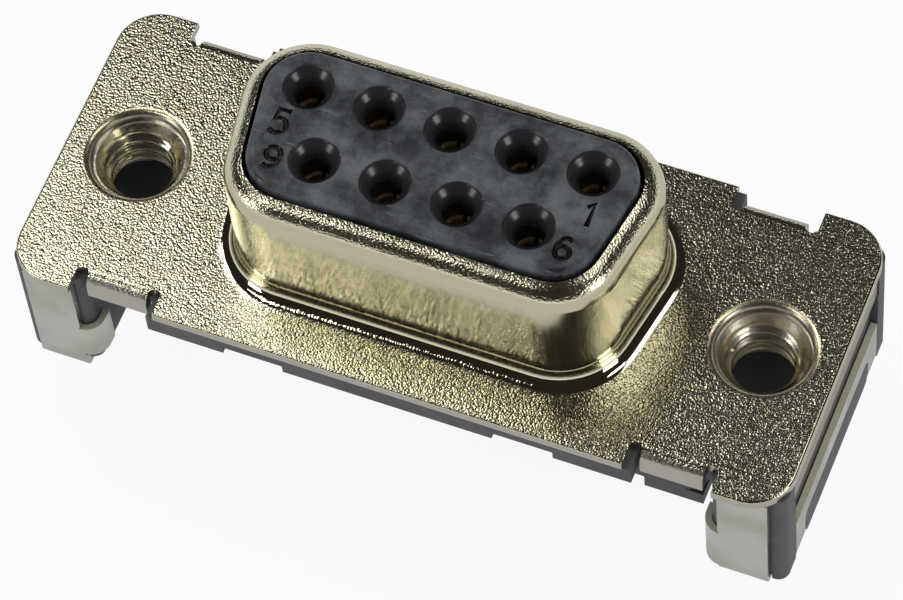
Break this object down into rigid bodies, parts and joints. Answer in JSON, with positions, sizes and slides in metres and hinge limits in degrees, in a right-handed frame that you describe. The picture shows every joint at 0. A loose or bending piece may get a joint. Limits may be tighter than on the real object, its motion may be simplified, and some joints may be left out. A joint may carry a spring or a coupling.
{
  "type": "d-sub connector",
  "caption": "Upright board-mount socket connector: drawn D-shaped metal shell and flange over a dark insulator with countersunk contact entries, threaded inserts and ground brackets.",
  "frame": {"origin": "midway between the two jack-screw holes, on the flange's front face", "axes": "+Z is the mating direction, away from the board; +X runs along the flange towards contact 1; +Y points to the wide side of the D"},
  "size_m": [0.0308, 0.0126, 0.016],
  "materials": {
    "shell_nickel": "bright nickel plate, frosted on the flange and rim, satin on the drawn wall",
    "insulator_plastic": "blue-charcoal glass-filled moulding, satin",
    "housing_plastic": "dark grey moulding, matt",
    "insert_nickel": "nickel-plated brass",
    "bracket_tin": "matt tin plate",
    "contact_gold": "gold flash"
  },
  "bodies": {
    "root": {"front_shell": "shell_nickel", "front_insulator": "insulator_plastic", "rear_housing": "housing_plastic", "threaded_insert_left": "insert_nickel", "threaded_insert_right": "insert_nickel", "ground_bracket_left": "bracket_tin", "ground_bracket_right": "bracket_tin", "contact_1": "contact_gold", "contact_2": "contact_gold", "contact_3": "contact_gold", "contact_4": "contact_gold", "contact_5": "contact_gold", "contact_6": "contact_gold", "contact_7": "contact_gold", "contact_8": "contact_gold", "contact_9": "contact_gold"}
  },
  "joints": []
}
